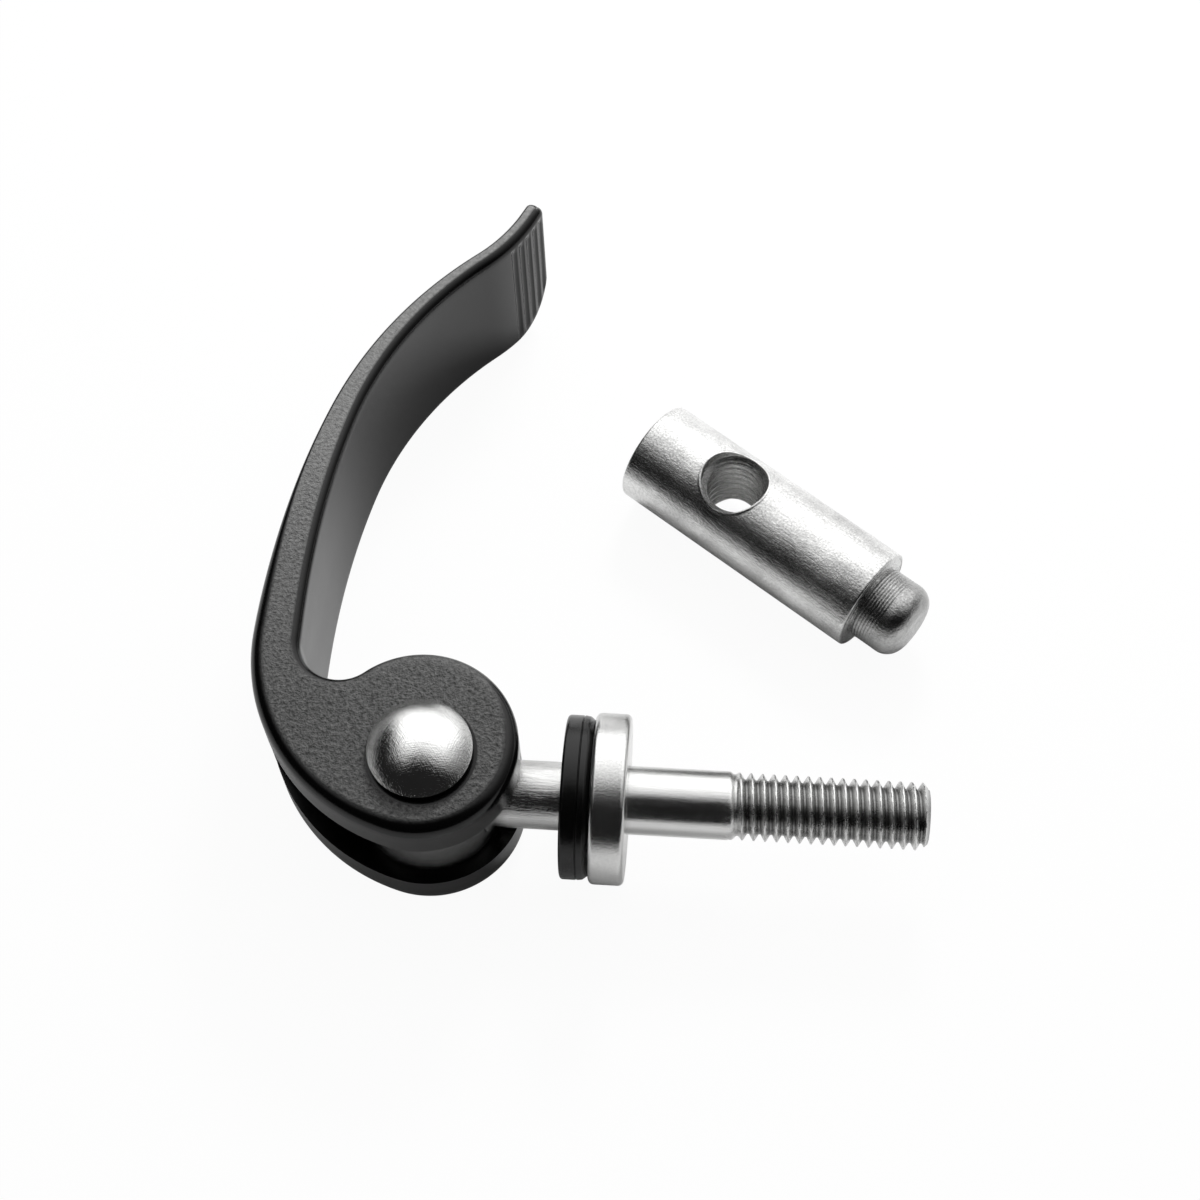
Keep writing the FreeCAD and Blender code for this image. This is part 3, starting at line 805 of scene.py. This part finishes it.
# %% [markdown]
# ## The barrel nut
# The nut is a barrel with a tapped cross hole and a stub. Its two ends are carried-round
# outlines. The lathe's tool leaves fine rings on the shoulder and the stub, and those are real
# cusps in the outline. Between the two ends lies the part of the skin with the hole. Its points
# lie at other angles than those of the ends, so at these two seams the sheets meet to 0.004 mm
# and aren't merged, and the mesh helper counts their edges as open.

# %% Nut outline
STUB_R, STUB_LENGTH, STUB_ROUND = 3.65, 4.8, 1.8
TAP_AT, WINDOW, SEGMENTS = 9.7, 4.8, 90
END_ROUND, SHOULDER_ROUND, SHOULDER_RIM, UNDERCUT, UNDERCUT_TO = 0.3, 0.22, 0.3, 0.12, 0.25
MARK_DEPTH, FACE_PITCH, RING_PITCH, RING_FROM, RING_TO = 0.05, 0.26, 0.3, 0.3, 2.4
FACE_POINTS, RING_POINTS, ROUND_STEPS = 41, 71, 14
STUB_PLAIN_FROM = BARREL_LENGTH + 2.5
NUT_END = BARREL_LENGTH + STUB_LENGTH


def tool_marks(start, end, pitch, count):
    """Places from start to end, and how deep a lathe tool has cut at each: a row of cusps."""
    place = np.linspace(start, end, count)
    return place, MARK_DEPTH * (1 - np.abs(np.sin(np.pi * (place - start) / pitch)))


end_profile = rounded([(0, 0, 0), (0, BARREL_R, END_ROUND), (TAP_AT - WINDOW, BARREL_R, 0)])
face_r, face_cut = tool_marks(BARREL_R - SHOULDER_RIM, STUB_R + MARK_DEPTH, FACE_PITCH, FACE_POINTS)
ring_x, ring_cut = tool_marks(BARREL_LENGTH + RING_FROM, BARREL_LENGTH + RING_TO, RING_PITCH, RING_POINTS)
stub_profile = np.concatenate([
    rounded([(TAP_AT + WINDOW, BARREL_R, 0), (BARREL_LENGTH, BARREL_R, SHOULDER_ROUND),
             (BARREL_LENGTH, BARREL_R - SHOULDER_RIM, 0)]),
    np.stack([BARREL_LENGTH - face_cut, face_r], 1),
    [[BARREL_LENGTH - MARK_DEPTH, STUB_R - UNDERCUT], [BARREL_LENGTH + UNDERCUT_TO, STUB_R - UNDERCUT]],
    np.stack([ring_x, STUB_R - ring_cut], 1),
    rounded([(STUB_PLAIN_FROM, STUB_R, 0), (NUT_END, STUB_R, STUB_ROUND), (NUT_END, 0, 0)], ROUND_STEPS)])
nut_end = carried_round(end_profile, NUT_BASE, nut_way, SEGMENTS)
nut_stub = carried_round(stub_profile, NUT_BASE, nut_way, SEGMENTS)
print("nut outline of", len(end_profile) + len(stub_profile), "points")

# %% [markdown]
# Round the hole the skin is a window. Its points run from the round mouth of the hole out to the
# window's border, seen along the hole, and their height puts them on the barrel. The mouth on
# top keeps a thin, uneven burr, left by the drill: a low ridge just outside the hole, whose
# height wanders with the angle.

# %% Nut windows
MOUTH_R, WINDOW_LEAN, BORDER_POINTS, WINDOW_RINGS = 3.2, 68.0, 31, 26
BURR_HIGH, BURR_AT, BURR_WIDE = 0.08, 0.12, 0.1
WANDER_MEAN, WANDER_WAVES = 0.62, ((0.22, 3, 0.7), (0.16, 8, 2.0))
UP = np.array([0.0, 0.0, 1.0])
nut_side = np.cross(nut_way, UP)


def nut_place(along, across, up):
    """Points from distances along the barrel's axis, across it level, and up from it."""
    return NUT_BASE + along[..., None] * nut_way + across[..., None] * nut_side + up[..., None] * UP


lean = np.radians(np.linspace(-WINDOW_LEAN, WINDOW_LEAN, BORDER_POINTS))
span = np.linspace(-WINDOW, WINDOW, BORDER_POINTS)
half_across = BARREL_R * math.sin(math.radians(WINDOW_LEAN))
edge_along = np.full(BORDER_POINTS - 1, WINDOW)
edge_across = np.full(BORDER_POINTS - 1, half_across)
border_along = np.concatenate([-edge_along, span[:-1], edge_along, span[:0:-1], [-WINDOW]])
border_across = np.concatenate([BARREL_R * np.sin(lean[:-1]), edge_across,
                                BARREL_R * np.sin(lean[:0:-1]), -edge_across, [-half_across]])
spin = np.arctan2(border_across, border_along)
out = np.linspace(0, 1, WINDOW_RINGS)[:, None] ** 2
wander = WANDER_MEAN + sum(size * np.sin(waves * spin + start) for size, waves, start in WANDER_WAVES)


def window(side, burr_high):
    """Skin round a mouth: from its circle out to the border, with a ridge close to the circle."""
    along = (1 - out) * MOUTH_R * np.cos(spin) + out * border_along
    across = (1 - out) * MOUTH_R * np.sin(spin) + out * border_across
    up = np.sqrt(BARREL_R ** 2 - across ** 2)
    from_ridge = (np.hypot(along, across) - MOUTH_R - BURR_AT) / BURR_WIDE
    return nut_place(TAP_AT + along, across, side * (up + burr_high * wander * np.exp(-from_ridge ** 2)))


nut_windows = [window(1, BURR_HIGH), window(-1, 0.0)]
print("burr up to", round(float(BURR_HIGH * wander.max()), 3), "mm high")

# %% [markdown]
# The hole's wall is a grid of angle and depth, on the same ring of angles as the windows, so
# they close without a gap. Its radius is the larger of the countersink and the tapped bore, and
# the thread is cut by the same kind of helix as on the bolt. Two plain strips close the sides of
# the barrel between the windows.

# %% Nut hole
TAP_R, CUT_DEPTH, CUT_SHARP, LEVELS, STRIP_POINTS = 2.5, 0.35, 1.5, 161, 13
hole_spin = np.repeat(spin[None], LEVELS, 0)
rim_low = -np.sqrt(BARREL_R ** 2 - (MOUTH_R * np.sin(spin)) ** 2)
rim_top = BURR_HIGH * wander * math.exp(-(BURR_AT / BURR_WIDE) ** 2) - rim_low
hole_up = rim_top + (rim_low - rim_top) * np.linspace(0, 1, LEVELS)[:, None]
turns = hole_up / PITCH + hole_spin / (2 * np.pi)
from_root = np.abs(turns - np.round(turns)) * 2
sink = np.clip(np.abs(hole_up) - math.sqrt(BARREL_R ** 2 - MOUTH_R ** 2) + MOUTH_R, 0, MOUTH_R)
hole_r = np.maximum(sink, TAP_R + CUT_DEPTH * (1 - from_root) ** CUT_SHARP)
hole_r[0], hole_r[-1] = MOUTH_R, MOUTH_R
nut_hole = nut_place(TAP_AT + hole_r * np.cos(hole_spin), hole_r * np.sin(hole_spin), hole_up)
strip_angle = np.radians(np.linspace(WINDOW_LEAN, 180 - WINDOW_LEAN, STRIP_POINTS))
strip_along, strip_turn = np.meshgrid(TAP_AT + span, strip_angle, indexing="ij")
strip_up = BARREL_R * np.cos(strip_turn)
strips = [nut_place(strip_along, side * BARREL_R * np.sin(strip_turn), strip_up) for side in (1, -1)]
print("hole from", hole_r.min().round(2), "to", hole_r.max().round(2), "mm in radius")

# %% Join the nut
nut_points, nut_faces = [], []
for sheet in [nut_end, nut_stub] + nut_windows + [nut_hole] + strips:
    nut_faces += grid_faces(*sheet.shape[:2], first=sum(len(part) for part in nut_points))
    nut_points.append(sheet.reshape(-1, 3))
build("barrel_nut_body", np.concatenate(nut_points), nut_faces, "lever", "barrel_nut",
      "turned_steel", crease=40.0)

# %% [markdown]
# ## Floor
# The part lies on a pale floor. To the camera most of the floor is plain white, so the ground
# reads as a white page, and the rest of it is lit, which keeps a faint shadow. To mirror rays it
# is lit, with a trace of that white, so steel shows the ground and the shadows on it.

# %% Floor
WHITE_SEEN, WHITE_MIRRORED = 0.95, 0.03
TONE_SEEN, TONE_OTHERWISE = (0.9, 0.9, 0.9, 1), (0.94, 0.94, 0.94, 1)
WHITE = (1, 1, 1, 1)
FLOOR_HALF, FLOOR_Z = 3, -2e-5
floor_corners = [(x * FLOOR_HALF, y * FLOOR_HALF, FLOOR_Z) for x, y in ((-1, -1), (1, -1), (1, 1), (-1, 1))]
floor_mesh = bpy.data.meshes.new("floor")
floor_mesh.from_pydata(floor_corners, [], [(0, 1, 2, 3)])
floor = bpy.data.objects.new("floor", floor_mesh)
scene.collection.objects.link(floor)
page = bpy.data.materials.new("page_white")
page.use_nodes = True
tree = page.node_tree
tree.nodes.clear()
ray = tree.nodes.new("ShaderNodeLightPath").outputs
seen = calc(tree, "MAXIMUM", ray["Is Camera Ray"], ray["Is Transmission Ray"])
white_seen = calc(tree, "MULTIPLY", seen, WHITE_SEEN)
white_mirrored = calc(tree, "MULTIPLY", ray["Is Glossy Ray"], WHITE_MIRRORED)
share_white = calc(tree, "ADD", white_seen, white_mirrored)
ground_tone = mix_colours(tree, ray["Is Camera Ray"], TONE_OTHERWISE, TONE_SEEN)
lit = add(tree, "ShaderNodeBsdfDiffuse", Color=ground_tone).outputs[0]
white = add(tree, "ShaderNodeEmission", Color=WHITE, Strength=1.0).outputs[0]
ground = add(tree, "ShaderNodeMixShader", _0=share_white, _1=lit, _2=white).outputs[0]
add(tree, "ShaderNodeOutputMaterial", Surface=ground)
floor_mesh.materials.append(page)
print("floor", 2 * FLOOR_HALF, "m wide")

# %% [markdown]
# ## Studio
# The studio is a sky: a bright panel behind the part and overhead, and a dark half on the
# camera's side. Polished steel shows that split as a white and a dark band, which makes it read
# as steel. The panel is a product of five ranges, one for each of its borders and one for its
# glow. It reaches a little nearer on the left. A small soft lamp gives the shadow. It is hidden
# from mirror rays, so that steel mirrors only the sky, the floor and the other pieces.

# %% Sky
PANEL_WAY, DARK_HALF, SKY_SEEN = (0.30, 1.0, 0.06), 0.015, 0.95
LEFT_X, LEFT_LIFT = (-0.45, -0.10), 0.36
world = bpy.data.worlds.new("studio")
scene.world = world
world.use_nodes = True
tree = world.node_tree
tree.nodes.clear()
way = tree.nodes.new("ShaderNodeTexCoord").outputs["Generated"]
way_x, _, way_z = add(tree, "ShaderNodeSeparateXYZ", _0=way).outputs
behind = add(tree, "ShaderNodeVectorMath", "DOT_PRODUCT", _0=way, _1=PANEL_WAY).outputs["Value"]
toward = calc(tree, "ADD", behind, spread(tree, way_x, *LEFT_X, LEFT_LIFT, 0.0))
panel_ranges = [
    (toward, (-0.14, 0.12), (0.0, 1.0)),  # near border
    (toward, (0.12, 0.70), (0.75, 1.75)),  # glow, brighter towards the back
    (way_x, (-0.70, -0.45), (0.0, 1.0)),  # left border
    (way_x, (0.60, 0.90), (1.0, 0.25)),  # right border
    (way_z, (0.02, 0.24), (0.12, 1.0)),  # foot, above the floor
]
panel = 1.0
for value, reach, levels in panel_ranges:
    panel = calc(tree, "MULTIPLY", panel, spread(tree, value, *reach, *levels))
level = calc(tree, "MAXIMUM", panel, DARK_HALF)
sky_seen = tree.nodes.new("ShaderNodeLightPath").outputs["Is Camera Ray"]
level = mix_values(tree, sky_seen, level, SKY_SEEN)
sky = add(tree, "ShaderNodeBackground", Color=WHITE, Strength=level).outputs[0]
add(tree, "ShaderNodeOutputWorld", Surface=sky)
print("sky has", len(tree.nodes), "nodes")

# %% Lamp
LAMP_SIZE, LAMP_WATTS = (0.05, 0.04), 0.26
LAMP_AT, LAMP_AIM = (0.04, 0.17, 0.14), (0.015, 0.02, 0.0)
lamp = bpy.data.lights.new("softbox", "AREA")
lamp.shape = "RECTANGLE"
lamp.size, lamp.size_y = LAMP_SIZE
lamp.energy = LAMP_WATTS
softbox = bpy.data.objects.new("softbox", lamp)
scene.collection.objects.link(softbox)
softbox.location = LAMP_AT
aim = mathutils.Vector(LAMP_AIM) - softbox.location
softbox.rotation_euler = aim.to_track_quat("-Z", "Y").to_euler()
softbox.visible_glossy = False
print("lamp", round(aim.length, 3), "m from the part")

# %% [markdown]
# ## Camera
# The camera looks down on the part from the front, as steeply as in the photograph. Its place
# and its look and right directions are a fit to the bolt, the washers, the pin's head and the
# lever's outline. The right direction is squared up against the look, and the third follows.

# %% Camera
LENS_MM, SENSOR_MM, NEAREST = 66.0, 36.0, 0.005
CAMERA_AT = (0.0235, -0.0720, 0.1878)
CAMERA_LOOK, CAMERA_RIGHT = (-0.0483, 0.4536, -0.8899), (0.9975, 0.0684, -0.0193)
lens = bpy.data.cameras.new("camera")
lens.lens = LENS_MM
lens.sensor_width = SENSOR_MM
lens.clip_start = NEAREST
camera = bpy.data.objects.new("camera", lens)
scene.collection.objects.link(camera)
look = np.array(CAMERA_LOOK) / np.linalg.norm(CAMERA_LOOK)
right = np.array(CAMERA_RIGHT) - look * (np.array(CAMERA_RIGHT) @ look)
right /= np.linalg.norm(right)
placed = np.eye(4)
placed[:3] = np.column_stack([right, np.cross(right, look), -look, CAMERA_AT])
camera.matrix_world = mathutils.Matrix(placed.tolist())
scene.camera = camera
print("camera looks down by", round(math.degrees(math.asin(-look[2]))), "degrees")

# %% [markdown]
# ## Last step
# The dressing only rounds and roughens the solids. Last, the view layer is brought up to date.

# %% Update the view layer
bpy.context.view_layer.update()
